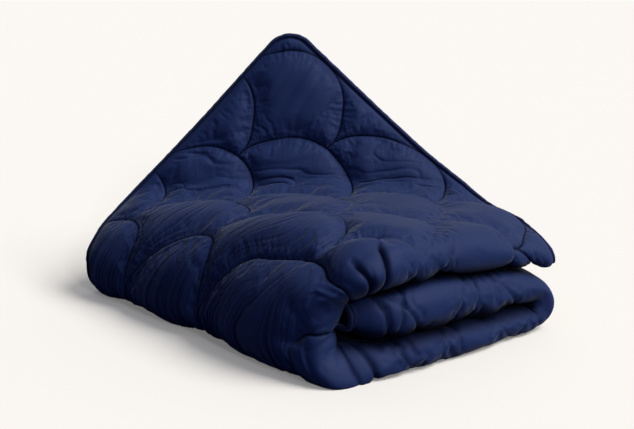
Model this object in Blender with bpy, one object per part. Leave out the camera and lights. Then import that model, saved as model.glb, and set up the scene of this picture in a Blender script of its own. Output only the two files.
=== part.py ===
# A clamshell-quilted double duvet, folded in half and then in thirds, with one corner turned up.
#
# The quilt is laid out flat first: "along" runs from the free end of the top layer (0) to the
# tucked-in end (LENGTH), "across" runs from one open edge (+HALF) over the half fold (0) to the
# other open edge (-HALF). Its faces are raised between the stitch lines, and the flat quilt is
# then folded in half, rolled in thirds and its upper corner is turned up.
# Metres, +Z up. +X points to the free end, -Y to the half fold.

import math

import bmesh
import bpy
import numpy as np
from mathutils import Matrix

LENGTH = 2.14
HALF = 1.0
CORNER_RADIUS = 0.07

# Quilting: round stitch lines with drawn-in feet, set like fish scales. Their size is in
# pitches. Over the folds they are sheared, pulled and drawn out with the cloth.
PITCH = 1 / 6
FIRST_ROW = -0.07
FIRST_COLUMN = -0.08
SCALE_ROUND = 0.885
SHEAR_FROM, SHEAR_TO, SHEAR = 3.2, 5.2, 0.9
SHEAR_KEPT_AT_NOSE = 0.25
PULL = 0.27
DRAWN_OUT = 0.10
TUCK = 0.40
PUFF_REACH = 0.088
SEAM_THICK = 0.014
PLUMP = 0.016
INSIDE_NOSE = 0.45
PLY_GAP = 0.0016

# Bound edge.
FLANGE = 0.010
FLANGE_THICK = 0.0048
TAPE_WIDE = 0.0115
TAPE_THICK = 0.0130
CLEAR = 0.0004
INSIDE_CLEAR = 0.0018

# The doubled quilt's way round the folds, from the free end on. A row for each run:
# its length, how far it turns, and how thick the doubled quilt is where it ends.
FOLD_RUNS = [
    {"run": "top", "length": 0.576, "turn": 0, "thick": 0.100},
    {"run": "shoulder", "length": 0.2042, "turn": 90, "thick": 0.090},
    {"run": "face", "length": 0.038, "turn": 0, "thick": 0.086},
    {"run": "heel", "length": 0.0700, "turn": 90, "thick": 0.080},
    {"run": "bottom", "length": 0.559, "turn": 0, "thick": 0.080},
    {"run": "small fold", "length": 0.1547, "turn": 180, "thick": 0.080},
    {"run": "middle rise", "length": 0.140, "turn": 0, "thick": 0.120},
    {"run": "middle", "length": 0.3941, "turn": 0, "thick": 0.112},
]
FREE_END_THICK = 0.098
WIDE = 0.755
DEEP = 1.01

# How much of its height the stack keeps: a row for each line across it, from the half fold to
# the open edges, with the share at the big fold, near the middle and at the free end.
SETTLED = [
    {"at": 0.00, "big_fold": 1.00, "middle": 1.04, "free_end": 0.66},
    {"at": 0.07, "big_fold": 1.03, "middle": 1.05, "free_end": 0.80},
    {"at": 0.15, "big_fold": 1.05, "middle": 1.05, "free_end": 0.90},
    {"at": 0.35, "big_fold": 1.02, "middle": 1.05, "free_end": 0.96},
    {"at": 0.65, "big_fold": 0.90, "middle": 0.97, "free_end": 0.92},
    {"at": 1.00, "big_fold": 0.755, "middle": 0.82, "free_end": 0.84},
]
SETTLED_MIDDLE = 0.38

# Where the half fold is drawn in at the big fold, and the free corner with it.
DRAWN_IN = 0.085
DRAWN_OVER = 0.36
DRAWN_AT_FLOOR = 0.35
CORNER_IN = 0.016
HEEL_PRESSED = 0.014

# The turned-up corner: how much of each edge it takes, and how it bends.
FLAP_ALONG = 0.61
FLAP_ACROSS = 0.71
FLAP_TURN = math.radians(73)
FLAP_BEND = 0.070
FLAP_SWAY = 0.045
FLAP_CLEAR_OF_FOLD = 0.1
FLAP_SHORT_OF_FACE = 0.75
FLAP_SINK_LEFT = 0.008
FLAP_SINK_RIGHT = 0.026
FLAP_SUNK_BY = 0.22
FLAP_STRETCH = 0.016
FLAP_STRETCHED_BY = 0.55

# Grid lines of the flat quilt: a row for each zone, with where it ends and its cells.
ALONG_ZONES = [
    {"end": FLANGE, "cells": 1},
    {"end": 0.070, "cells": 3},
    {"end": 0.576, "cells": 15},
    {"end": 0.888, "cells": 13},
    {"end": 1.447, "cells": 11},
    {"end": 1.602, "cells": 5},
    {"end": 2.070, "cells": 7},
    {"end": LENGTH - FLANGE, "cells": 2},
    {"end": LENGTH, "cells": 1},
]
ACROSS_ZONES = [
    {"end": FLANGE, "cells": 1},
    {"end": 0.070, "cells": 3},
    {"end": 0.950, "cells": 24},
    {"end": 1.050, "cells": 6},
    {"end": 1.930, "cells": 10},
    {"end": 2 * HALF - FLANGE, "cells": 2},
    {"end": 2 * HALF, "cells": 1},
]


def grid_lines(zones):
    """Positions of the grid lines through a list of zones."""
    lines = [0.0]
    for zone in zones:
        step = (zone["end"] - lines[-1]) / zone["cells"]
        start = lines[-1]
        lines += [start + step * (i + 1) for i in range(zone["cells"])]
    return np.array(lines)


def round_corner(along, across):
    """Moves points near the four corners of the flat quilt onto its rounded outline."""
    from_end = np.minimum(along, LENGTH - along)
    from_edge = HALF - np.abs(across)
    p = np.clip(1 - from_end / CORNER_RADIUS, 0, None)
    q = np.clip(1 - from_edge / CORNER_RADIUS, 0, None)
    inside = (p > 0) & (q > 0)
    pull = np.where(inside, np.maximum(p, q) / np.maximum(np.hypot(p, q), 1e-9), 1)
    p_new = p * pull
    q_new = q * pull
    shift_along = (p - p_new) * CORNER_RADIUS
    shift_across = (q - q_new) * CORNER_RADIUS
    along = along + np.where(along < LENGTH / 2, shift_along, -shift_along)
    across = across - np.sign(across) * shift_across
    return along, across


def smooth(value, low, high):
    """Rises smoothly from 0 to 1 as the value goes from low to high."""
    share = np.clip((value - low) / (high - low), 0, 1)
    return share * share * (3 - 2 * share)


def pattern_place(along, across):
    """Row and column of the stitch pattern, in pitches from the free end and the open edge."""
    row = along / PITCH - FIRST_ROW
    column = (HALF - across) / PITCH - FIRST_COLUMN
    sheared = SHEAR * smooth(row, SHEAR_FROM, SHEAR_TO)
    sheared = sheared * (1 - (1 - SHEAR_KEPT_AT_NOSE) * smooth(column, 3.6, 5.2))
    pulled = smooth(column, 2.0, 3.2) * (1 - smooth(column, 4.6, 6.0))
    pulled = PULL * pulled * (1 - smooth(row - smooth(column, 3.4, 4.6), 2.8, 4.0))
    # The scales on the big fold are drawn out, and tuck in early near the half fold.
    row = row + DRAWN_OUT * smooth(row, 3.1, 3.9) - 2 * DRAWN_OUT * smooth(row, 4.3, 5.1)
    row = row + TUCK * smooth(column, 4.9, 5.9) * smooth(row, 4.0, 4.8)
    return row, column + sheared - pulled


def nearest_stitch(along, across):
    """Distances to the two nearest stitch lines, and the step that leads onto the first."""
    foot = math.hypot(1, 1 - SCALE_ROUND)
    row, column = pattern_place(along, across)
    best = np.full(row.shape, 9.0)
    second = np.full(row.shape, 9.0)
    step_row = np.zeros(row.shape)
    step_column = np.zeros(row.shape)
    for up in range(0, 3):
        for side in range(-1, 3):
            centre_row = np.floor(row) + up
            centre_column = np.floor(column) + side
            d_row = row - centre_row
            d_column = column - centre_column
            far = np.maximum(np.hypot(d_row, d_column), 1e-6)
            turned = np.arctan2(np.abs(d_column), -d_row)
            behind = (d_row <= 1 - SCALE_ROUND) & ((centre_row + centre_column) % 2 == 0)
            radius = SCALE_ROUND + (foot - SCALE_ROUND) * smooth(turned, 0.9, 1.68)
            off = np.where(behind, np.abs(far - radius), 9.0)
            nearer = off < best
            second = np.where(nearer, best, np.minimum(second, off))
            best = np.where(nearer, off, best)
            step_row = np.where(nearer, d_row * (radius / far - 1), step_row)
            step_column = np.where(nearer, d_column * (radius / far - 1), step_column)
    return best * PITCH, second * PITCH, step_row * PITCH, -step_column * PITCH


def snap_to_stitch(along, across, reach):
    """Pulls grid points that lie close to a stitch line onto it, away from its junctions."""
    off, second, step_along, step_across = nearest_stitch(along, across)
    edge = np.minimum(np.minimum(along, LENGTH - along), HALF - np.abs(across))
    open_grid = (edge > CORNER_RADIUS) & (np.abs(across) > 0.06)
    near = (off < reach) & open_grid & (second > 2.2 * reach)
    return along + np.where(near, step_along, 0), across + np.where(near, step_across, 0)


def run_state(along):
    """Centre line of the doubled quilt: place, heading and thickness at each point."""
    x = np.zeros(along.shape)
    z = np.zeros(along.shape)
    heading = np.full(along.shape, math.pi)
    thick = np.full(along.shape, FREE_END_THICK)
    at_x, at_z, at_heading, at_thick, start = 0.0, 0.0, math.pi, FREE_END_THICK, 0.0
    for number, row in enumerate(FOLD_RUNS):
        turn = math.radians(row["turn"])
        last = number == len(FOLD_RUNS) - 1
        here = (along >= start) if start > 0 else np.ones(along.shape, bool)
        if not last:
            here &= along < start + row["length"]
        gone = along - start
        share = np.clip(gone / row["length"], 0, 1)
        if turn:
            radius = row["length"] / turn
            angle = at_heading + gone / radius
            dx = radius * (np.sin(angle) - math.sin(at_heading))
            dz = radius * (math.cos(at_heading) - np.cos(angle))
        else:
            angle = np.full(along.shape, at_heading)
            dx = gone * math.cos(at_heading)
            dz = gone * math.sin(at_heading)
        x = np.where(here, at_x + dx, x)
        z = np.where(here, at_z + dz, z)
        heading = np.where(here, angle, heading)
        thick = np.where(here, at_thick + (row["thick"] - at_thick) * share, thick)
        if turn:
            at_x += radius * (math.sin(at_heading + turn) - math.sin(at_heading))
            at_z += radius * (math.cos(at_heading) - math.cos(at_heading + turn))
        else:
            at_x += row["length"] * math.cos(at_heading)
            at_z += row["length"] * math.sin(at_heading)
        at_heading += turn
        at_thick = row["thick"]
        start += row["length"]
    return x, z, heading, thick


def plumpness(along, across):
    """How much fuller the outer side of the scales is over the shoulder, near the half fold."""
    on_shoulder = smooth(along, 0.34, 0.52) * (1 - smooth(along, 0.80, 0.90))
    return PLUMP * on_shoulder * smooth(across, 0.0, 0.10) * (1 - smooth(across, 0.30, 0.60))


def half_thickness(along, across, thick, more):
    """Half the thickness of one ply: full in the middle of a scale, pinched at the stitching."""
    off = nearest_stitch(along, across)[0]
    from_end = np.minimum(along, LENGTH - along) - FLANGE
    from_side = HALF - np.abs(across) - FLANGE
    edge = np.minimum(from_end, from_side)
    corner_x = CORNER_RADIUS - from_end - FLANGE
    corner_y = CORNER_RADIUS - from_side - FLANGE
    in_corner = (corner_x > 0) & (corner_y > 0)
    rounded = CORNER_RADIUS - FLANGE - np.hypot(corner_x, corner_y)
    edge = np.clip(np.where(in_corner, rounded, edge), 0, None)
    full = thick / 4 - PLY_GAP / 2 + more
    seam = SEAM_THICK / 2
    puff = np.clip(off / PUFF_REACH, 0, 1)
    puff = np.sqrt(1 - (1 - puff) ** 2)
    rise = np.clip(edge / PUFF_REACH, 0, 1)
    rise = np.sqrt(1 - (1 - rise) ** 2)
    raised = seam + (full - seam) * puff
    return FLANGE_THICK / 2 + (raised - FLANGE_THICK / 2) * rise


def settle(x, y):
    """How much of its height the stack keeps at a place on its footprint."""
    lines = [row["at"] for row in SETTLED]
    at = np.clip(y / DEEP + 0.5, 0, 1)
    fold_side, middle, end_side = [
        np.interp(at, lines, [row[part] for row in SETTLED])
        for part in ("big_fold", "middle", "free_end")
    ]
    share = np.clip(x / WIDE + 0.5, 0, 1)
    mid = SETTLED_MIDDLE
    keep = fold_side * (share - mid) * (share - 1) / mid
    keep = keep + middle * share * (share - 1) / (mid * (mid - 1))
    return keep + end_side * share * (share - mid) / (1 - mid)


def draw_in(x, y, z):
    """Draws the half fold in at the big fold, and presses the heel onto the floor."""
    from_nose = y + DEEP / 2
    inner = smooth(-x, 0.12, 0.33) * (1 - smooth(z, 0.17, 0.28))
    inner = inner * (DRAWN_AT_FLOOR + (1 - DRAWN_AT_FLOOR) * smooth(z, 0, 0.09))
    y = y + DRAWN_IN * inner * (1 - smooth(from_nose, 0, DRAWN_OVER))
    corner = smooth(x, 0.15, 0.37) * (1 - smooth(from_nose, 0, 0.25)) * smooth(z, 0.12, 0.17)
    x = x - CORNER_IN * corner
    return x, y, z - HEEL_PRESSED * (1 - smooth(z, 0, 0.09)) * smooth(-x, 0.20, 0.32)


def fold(along, across, out):
    """Where a point of the flat quilt goes. "out" is its height above the ply's mid-surface."""
    x, z, heading, thick = run_state(along)
    quarter = thick / 4 + PLY_GAP / 4
    nose = quarter * math.pi / 2
    angle = np.clip(across / quarter, -math.pi / 2, math.pi / 2)
    straight = np.clip(np.abs(across) - nose, 0, None)
    y = -DEEP / 2 + thick / 2 - (quarter + out) * np.cos(angle) + straight
    height = (quarter + out) * np.sin(angle)
    x = x + height * np.sin(heading)
    z = z - height * np.cos(heading)
    x = x + WIDE / 2
    z = z + BASE
    keep = settle(x, y)
    middle = (z - (out * np.sin(angle)) * -np.cos(heading)) * keep
    x, y, z = draw_in(x, y, z * keep)
    return turn_up(along, across, x, y, z, middle)


def turn_up(along, across, x, y, z, middle):
    """Turns up the corner of the upper ply about a line across it."""
    on_flap = (across > FLAP_CLEAR_OF_FOLD) & (along < FLAP_SHORT_OF_FACE)
    edge_long = math.hypot(FLAP_ALONG, FLAP_ACROSS)
    to_x = FLAP_ACROSS / edge_long
    to_y = FLAP_ALONG / edge_long
    beyond = (x - (WIDE / 2 - FLAP_ALONG)) * to_x + (y - DEEP / 2) * to_y
    start = -FLAP_BEND * math.tan(FLAP_TURN / 2)
    gone = np.clip(beyond - start, 0, None)
    angle = np.minimum(gone / FLAP_BEND, FLAP_TURN)
    rest = np.clip(gone - FLAP_BEND * FLAP_TURN, 0, None)
    over = z - middle
    aside = np.clip((x - y) / WIDE / 2 + 0.5, 0, 1)
    sink = FLAP_SINK_LEFT + (FLAP_SINK_RIGHT - FLAP_SINK_LEFT) * aside
    middle = middle - sink * smooth(gone, 0, FLAP_SUNK_BY)
    middle = middle + FLAP_STRETCH * smooth(gone, 0.25, FLAP_STRETCHED_BY)
    level = FLAP_BEND * np.sin(angle) + rest * np.cos(angle) - over * np.sin(angle)
    rise = FLAP_BEND * (1 - np.cos(angle)) + rest * np.sin(angle) + over * np.cos(angle)
    bent = on_flap & (gone > 0)
    shift = level - gone
    sway = FLAP_SWAY * rise
    x = np.where(bent, x + shift * to_x + sway * to_y, x)
    y = np.where(bent, y + shift * to_y - sway * to_x, y)
    z = np.where(bent, middle + rise, z)
    return x, y, z


def top_level():
    """Height of the top run's centre line above the floor."""
    drop = FOLD_RUNS[4]["thick"] / 2
    for row in FOLD_RUNS[1:4]:
        drop += row["length"] / math.radians(row["turn"]) if row["turn"] else row["length"]
    return drop


BASE = top_level()


def clear_scene():
    for item in list(bpy.data.objects):
        bpy.data.objects.remove(item)


def cloth_material(name, colour, roughness):
    material = bpy.data.materials.new(name)
    material.use_nodes = True
    shader = material.node_tree.nodes["Principled BSDF"]
    shader.inputs["Base Color"].default_value = (*colour, 1)
    shader.inputs["Roughness"].default_value = roughness
    shader.inputs["Metallic"].default_value = 0
    return material


def add_object(name, shape, material, collection):
    mesh = bpy.data.meshes.new(name)
    shape.to_mesh(mesh)
    shape.free()
    mesh.materials.append(material)
    item = bpy.data.objects.new(name, mesh)
    collection.objects.link(item)
    return item


def flat_quilt(lines_along, lines_across):
    """A flat slab with a grid on both faces, one unit cell for each cell of the quilt."""
    cells_along = len(lines_along) - 1
    cells_across = len(lines_across) - 1
    shape = bmesh.new()
    bmesh.ops.create_grid(shape, x_segments=cells_along, y_segments=cells_across, size=1)
    made = bmesh.ops.extrude_face_region(shape, geom=shape.faces[:])
    for vertex in made["geom"]:
        if isinstance(vertex, bmesh.types.BMVert):
            vertex.co.z = 1
    bmesh.ops.recalc_face_normals(shape, faces=shape.faces[:])
    return shape


def pressed_flat(along, across, thick):
    """Where the outer ply of the bottom run lies flat on the floor."""
    start = sum(row["length"] for row in FOLD_RUNS[:4])
    length = FOLD_RUNS[4]["length"]
    inside = (along > start - 0.001) & (along < start + length + 0.001)
    return inside & (across > thick * 0.42) & (across < HALF - 0.05)


def split_along_stitches(shape, stitched):
    """Cuts each cell in two so that the cut follows the stitch line where one crosses it."""
    shape.verts.index_update()
    for face in list(shape.faces):
        corners = face.verts[:]
        if len(corners) != 4:
            continue
        marks = [stitched[corner.index] for corner in corners]
        first = 1 if marks[1] and marks[3] and not (marks[0] and marks[2]) else 0
        bmesh.utils.face_split(face, corners[first], corners[first + 2])


def build_quilt(collection, material):
    """The quilted body: one filled solid."""
    lines_along = grid_lines(ALONG_ZONES)
    lines_across = grid_lines(ACROSS_ZONES)
    shape = flat_quilt(lines_along, lines_across)
    shape.verts.ensure_lookup_table()
    place = np.array([v.co[:] for v in shape.verts])
    row = np.rint((place[:, 0] + 1) / 2 * (len(lines_along) - 1)).astype(int)
    column = np.rint((place[:, 1] + 1) / 2 * (len(lines_across) - 1)).astype(int)
    along, across = round_corner(lines_along[row], HALF - lines_across[column])
    along, across = snap_to_stitch(along, across, 0.014)
    _, _, _, thick = run_state(along)
    half = half_thickness(along, across, thick, plumpness(along, across))
    upper = place[:, 2] > 0.5
    on_floor = pressed_flat(along, across, thick) & upper
    half = np.where(on_floor, thick / 4 - PLY_GAP / 2, half)
    inner_half = half_thickness(along, across, thick, 0)
    inner_half *= np.interp(np.abs(across), [0.045, 0.085], [INSIDE_NOSE, 1])
    x, y, z = fold(along, across, np.where(upper, half, -inner_half))
    z = np.where(on_floor, 0, np.maximum(z, 0))
    for vertex, spot in zip(shape.verts, zip(x, y, z)):
        vertex.co = spot
    split_along_stitches(shape, nearest_stitch(along, across)[0] < 0.001)
    return add_object("quilt", shape, material, collection)


def outline_of(lines_along, lines_across):
    """The flat quilt's outline, point by point, with the direction that leads outwards."""
    across = HALF - lines_across
    near = [(a, HALF) for a in lines_along[:-1]]
    far = [(LENGTH, c) for c in across[:-1]]
    back = [(a, -HALF) for a in lines_along[:0:-1]]
    start = [(0.0, c) for c in across[:0:-1]]
    points = np.array(near + far + back + start)
    along, across = round_corner(points[:, 0], points[:, 1])
    ring = np.stack([along, across], 1)
    ahead = np.roll(ring, -1, 0) - np.roll(ring, 1, 0)
    ahead /= np.linalg.norm(ahead, axis=1)[:, None]
    outward = np.stack([-ahead[:, 1], ahead[:, 0]], 1)
    centre = np.array([LENGTH / 2, 0])
    outward *= np.sign(((ring - centre) * outward).sum(1))[:, None]
    return ring, outward


def build_binding(collection, material):
    """The tape folded over the quilt's edge all the way round: a U with its opening inwards."""
    ring, outward = outline_of(grid_lines(ALONG_ZONES), grid_lines(ACROSS_ZONES))
    inner = FLANGE_THICK / 2 + INSIDE_CLEAR
    outer = TAPE_THICK / 2
    lip = -(TAPE_WIDE - 0.0045)
    section = [
        {"out": CLEAR, "up": inner},
        {"out": lip, "up": inner},
        {"out": lip, "up": outer * 0.92},
        {"out": 0.000, "up": outer},
        {"out": 0.0045, "up": outer * 0.45},
        {"out": 0.0045, "up": -outer * 0.45},
        {"out": 0.000, "up": -outer},
        {"out": lip, "up": -outer * 0.92},
        {"out": lip, "up": -inner},
        {"out": CLEAR, "up": -inner},
    ]
    shape = bmesh.new()
    loops = []
    for corner in section:
        along = ring[:, 0] + outward[:, 0] * corner["out"]
        across = ring[:, 1] + outward[:, 1] * corner["out"]
        x, y, z = fold(along, across, np.full(len(along), corner["up"]))
        loops.append([shape.verts.new(spot) for spot in zip(x, y, np.maximum(z, 0))])
    count = len(ring)
    for i in range(len(section)):
        here = loops[i]
        beside = loops[(i + 1) % len(section)]
        for k in range(count):
            n = (k + 1) % count
            shape.faces.new([here[k], here[n], beside[n], beside[k]])
    bmesh.ops.recalc_face_normals(shape, faces=shape.faces[:])
    return add_object("binding", shape, material, collection)


def set_on_origin(items):
    """Moves the points so that the whole stands on the origin, at the middle of its footprint."""
    points = np.array([vertex.co[:] for item in items for vertex in item.data.vertices])
    low = points.min(axis=0)
    high = points.max(axis=0)
    middle = ((low[0] + high[0]) / 2, (low[1] + high[1]) / 2, low[2])
    for item in items:
        item.data.transform(Matrix.Translation([-value for value in middle]))


def main():
    clear_scene()
    duvet = bpy.data.collections.new("duvet")
    bpy.context.scene.collection.children.link(duvet)
    navy = cloth_material("navy_fabric", (0.022, 0.030, 0.085), 0.72)
    edge = cloth_material("navy_tape", (0.018, 0.025, 0.070), 0.62)
    quilt = build_quilt(duvet, navy)
    binding = build_binding(duvet, edge)
    set_on_origin([quilt, binding])


main()
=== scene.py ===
import math

import bpy
import numpy as np
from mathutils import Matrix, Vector


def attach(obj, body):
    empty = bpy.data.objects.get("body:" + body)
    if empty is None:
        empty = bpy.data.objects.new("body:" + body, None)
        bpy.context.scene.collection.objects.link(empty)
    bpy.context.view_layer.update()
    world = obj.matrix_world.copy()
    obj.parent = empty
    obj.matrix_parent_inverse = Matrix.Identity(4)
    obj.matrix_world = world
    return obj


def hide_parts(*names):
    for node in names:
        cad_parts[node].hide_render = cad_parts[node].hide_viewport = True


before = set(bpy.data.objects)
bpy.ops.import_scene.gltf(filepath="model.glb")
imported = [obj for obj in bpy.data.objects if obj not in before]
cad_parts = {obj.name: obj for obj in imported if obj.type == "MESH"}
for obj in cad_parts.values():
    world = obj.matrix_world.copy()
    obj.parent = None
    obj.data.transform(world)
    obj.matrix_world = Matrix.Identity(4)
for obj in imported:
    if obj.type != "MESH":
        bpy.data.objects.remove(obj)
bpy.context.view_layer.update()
print("duvet: frame loaded, nodes", sorted(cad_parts))

# A clamshell-quilted navy duvet, folded in half and then in thirds, with one corner turned up.
# It is worked out flat first and then folded: "along" runs from the free end of the top layer to
# the tucked-in end, "across" from one open edge over the half fold to the other open edge.


class Socket:
    # wraps a node's output, so that an expression on it adds Math nodes
    def __init__(self, tree, output):
        self.tree, self.output = tree, output

    def maths(self, operation, *values):
        return addNode(self.tree, "ShaderNodeMath", {"operation": operation}, dict(enumerate(values)))

    def __add__(self, other):
        return self.maths("ADD", self, other)

    def __sub__(self, other):
        return self.maths("SUBTRACT", self, other)

    def __rsub__(self, other):
        return self.maths("SUBTRACT", other, self)

    def __mul__(self, other):
        return self.maths("MULTIPLY", self, other)

    __radd__ = __add__
    __rmul__ = __mul__

    def sine(self):
        return self.maths("SINE", self)

    def orMore(self, other):
        return self.maths("MAXIMUM", self, other)

    def mix(self, low, high):
        # a colour between low and high, at this socket's share
        return addNode(self.tree, "ShaderNodeMix", {"data_type": "RGBA"},
                       {0: self, 6: low, 7: high}, 2)

    def between(self, low, high):
        # a soft step from 0 to 1 as this socket goes from low to high
        return addNode(self.tree, "ShaderNodeMapRange", {"interpolation_type": "SMOOTHSTEP"},
                       {"Value": self, "From Min": low, "From Max": high})


def addNode(tree, kind, settings=(), sockets=(), output=0):
    # the settings come first, because some sockets only show once they are made
    made = tree.nodes.new(kind)
    for name, value in dict(settings).items():
        setattr(made, name, value)
    for name, value in dict(sockets).items():
        if isinstance(value, Socket):
            tree.links.new(value.output, made.inputs[name])
        else:
            made.inputs[name].default_value = value
    return Socket(tree, made.outputs[output]) if made.outputs else made


view = {
    "azimuth": -41.45,
    "elevation": 16.7,
    "distance": 5.0,
    "aimHeight": 0.25,
    "lens": 111.3,
    "shiftX": 0.0016,
    "shiftY": 0.004,
}


def directionOf(azimuth, elevation):
    a, e = math.radians(azimuth), math.radians(elevation)
    return Vector((math.sin(a) * math.cos(e), -math.cos(a) * math.cos(e), math.sin(e)))


def addCamera():
    bpy.ops.object.camera_add()
    camera = bpy.context.object
    camera.name = "camera"
    back = directionOf(view["azimuth"], view["elevation"])
    camera.location = Vector((0, 0, view["aimHeight"])) + back * view["distance"]
    camera.rotation_euler = back.to_track_quat("Z", "Y").to_euler()
    camera.data.sensor_width = 36
    camera.data.lens = view["lens"]
    camera.data.shift_x = view["shiftX"]
    camera.data.shift_y = view["shiftY"]
    camera.data.clip_end = 100
    bpy.context.scene.camera = camera


studio = {
    "suns": [
        {"name": "key", "azimuth": 30, "elevation": 50, "strength": 3.0, "softness": 34},
        {"name": "rake", "azimuth": -20, "elevation": 28, "strength": 0.50, "softness": 8},
    ],
    "skyBright": (0.45, 0.45, 0.45, 1),
    "skyDark": (0.010, 0.030, 0.120, 1),
    "skyTowards": (0.80, -0.25, 0.55),
    "skyFrom": -0.35,
    "skyTo": 0.90,
    "backdropColour": (0.956, 0.930, 0.888, 1),
    "floorColour": (0.902, 0.862, 0.798, 1),
    "floorGlow": (0.030, 0.045, 0.110, 1),
    "floorFill": 0.16,
    "floorSize": 60,
}


def addSky():
    # the camera sees a pale backdrop, and the cloth a sky that is brighter on one side
    world = bpy.data.worlds.new("studio")
    bpy.context.scene.world = world
    world.use_nodes = True
    tree = world.node_tree
    tree.nodes.clear()
    way = addNode(tree, "ShaderNodeTexCoord")
    facing = addNode(tree, "ShaderNodeVectorMath", {"operation": "DOT_PRODUCT"},
                     {0: way, 1: studio["skyTowards"]}, "Value")
    share = facing.between(studio["skyFrom"], studio["skyTo"])
    sky = addNode(tree, "ShaderNodeBackground", (),
                  {"Color": share.mix(studio["skyDark"], studio["skyBright"])})
    backdrop = addNode(tree, "ShaderNodeBackground", (), {"Color": studio["backdropColour"]})
    seen = addNode(tree, "ShaderNodeLightPath", (), (), "Is Camera Ray")
    both = addNode(tree, "ShaderNodeMixShader", (), {0: seen, 1: sky, 2: backdrop})
    addNode(tree, "ShaderNodeOutputWorld", (), {"Surface": both})


def addSuns():
    for row in studio["suns"]:
        bpy.ops.object.light_add(type="SUN")
        sun = bpy.context.object
        sun.name = row["name"]
        sun.data.energy = row["strength"]
        sun.data.angle = math.radians(row["softness"])
        toSun = directionOf(row["azimuth"], row["elevation"])
        sun.rotation_euler = toSun.to_track_quat("Z", "Y").to_euler()


def addFloor():
    # the camera sees a pale floor with its shadows a little filled, and the cloth a dim one
    bpy.ops.mesh.primitive_plane_add(size=studio["floorSize"], location=(0, 0, 0))
    floor = bpy.context.object
    floor.name = "floor"
    paint = bpy.data.materials.new("floorPaint")
    paint.use_nodes = True
    tree = paint.node_tree
    tree.nodes.clear()
    pale = addNode(tree, "ShaderNodeBsdfDiffuse", (), {"Color": studio["floorColour"]})
    dim = addNode(tree, "ShaderNodeBsdfDiffuse", (), {"Color": studio["floorGlow"]})
    fill = addNode(tree, "ShaderNodeEmission", (), {"Color": studio["backdropColour"]})
    filled = addNode(tree, "ShaderNodeMixShader", (), {0: studio["floorFill"], 1: pale, 2: fill})
    seen = addNode(tree, "ShaderNodeLightPath", (), (), "Is Camera Ray")
    both = addNode(tree, "ShaderNodeMixShader", (), {0: seen, 1: dim, 2: filled})
    addNode(tree, "ShaderNodeOutputMaterial", (), {"Surface": both})
    floor.data.materials.append(paint)


def addStudio():
    bpy.context.scene.view_settings.view_transform = "Standard"
    bpy.context.scene.view_settings.look = "None"
    addSky()
    addSuns()
    addFloor()


bpy.ops.object.select_all(action="DESELECT")
addCamera()
addStudio()
print("duvet: camera, light and floor in place")


cloth = {
    "length": 2.14,
    "half": 1.0,
    "cornerRadius": 0.07,
    "puffReach": 0.088,
    "bluntTip": 0.55,
    "bluntAcross": (0.05, 0.20),
    "bluntAlong": (0.10, 0.24),
    "seamThick": 0.011,
    "plyGap": 0.0016,
    "flange": 0.010,
    "flangeThick": 0.0048,
    "insideNose": 0.45,
    "plump": 0.016,
    "plumpAlong": (0.34, 0.52, 0.80, 0.90),
    "plumpAcross": (0.0, 0.10, 0.30, 0.60),
}

# places where the stitching hardly shows: beside the hinge, where the turned-up corner pulls on
# the cloth, down the half fold of the lower layers, and under the heel's first scale
flat = {
    "beside": 0.80,
    "besideHinge": (0.0, 0.05),
    "besideAlong": (0.15, 0.21, 0.51, 0.56),
    "besideAcross": (-0.03, 0.0, 0.38, 0.52),
    "lower": 0.45,
    "lowerAlong": (0.90, 0.96),
    "lowerAcross": (0.08, 0.16),
    "heel": 0.80,
    "heelAlong": (0.805, 0.825, 0.90, 0.94),
    "heelAcross": (0.020, 0.045, 0.20, 0.30),
    "threadHidden": 0.004,
}

# the clamshell stitching, in rows along and columns across of one pitch each: half circles of
# scaleRound, drawn on the flat quilt as the folded and drawn-in quilt shows them
pattern = {
    "pitch": 1 / 6,
    "firstRow": -0.07,
    "firstColumn": -0.08,
    "scaleRound": 0.885,
    "footTurn": (0.90, 1.68),
    "shear": 0.9,
    "shearRows": (3.2, 5.2),
    "shearKeptAtNose": 0.25,
    "shearNose": (3.6, 5.2),
    "pull": 0.27,
    "pullColumns": (2.0, 3.2, 4.6, 6.0),
    "pullRows": (2.8, 4.0),
    "pullLater": (3.4, 4.6),
    "drawn": 0.10,
    "drawnRows": (3.1, 3.9),
    "drawnBack": (4.3, 5.1),
    "tuck": 0.40,
    "tuckRows": (4.0, 4.8),
    "tuckColumns": (4.9, 5.9),
    "around": 0.75,
    "aroundRows": (3.9, 4.25, 4.7, 5.6),
    "aroundColumns": (5.4, 6.6),
    "lean": 0.20,
    "leanRows": (3.9, 4.3, 4.9, 5.3),
    "leanColumns": (2.6, 3.4, 4.6, 5.4),
}

# the doubled quilt's way round the folds, from the free end on: how long each run is, how far
# it turns, and how thick the doubled quilt is where it ends
foldRuns = [
    {"run": "top", "length": 0.576, "turn": 0, "thick": 0.100},
    {"run": "shoulder", "length": 0.2042, "turn": 90, "thick": 0.090},
    {"run": "face", "length": 0.038, "turn": 0, "thick": 0.086},
    {"run": "heel", "length": 0.0700, "turn": 90, "thick": 0.080},
    {"run": "bottom", "length": 0.559, "turn": 0, "thick": 0.080},
    {"run": "smallFold", "length": 0.1547, "turn": 180, "thick": 0.080},
    {"run": "middleRise", "length": 0.140, "turn": 0, "thick": 0.120},
    {"run": "middle", "length": 0.3941, "turn": 0, "thick": 0.112},
]

# the folded stack: its size, and how far its middle lies from the origin
stack = {
    "freeEndThick": 0.098,
    "wide": 0.755,
    "deep": 1.01,
    "shiftX": 0.0031,
    "shiftY": -0.0035,
    "settleMiddle": 0.38,
}

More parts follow.
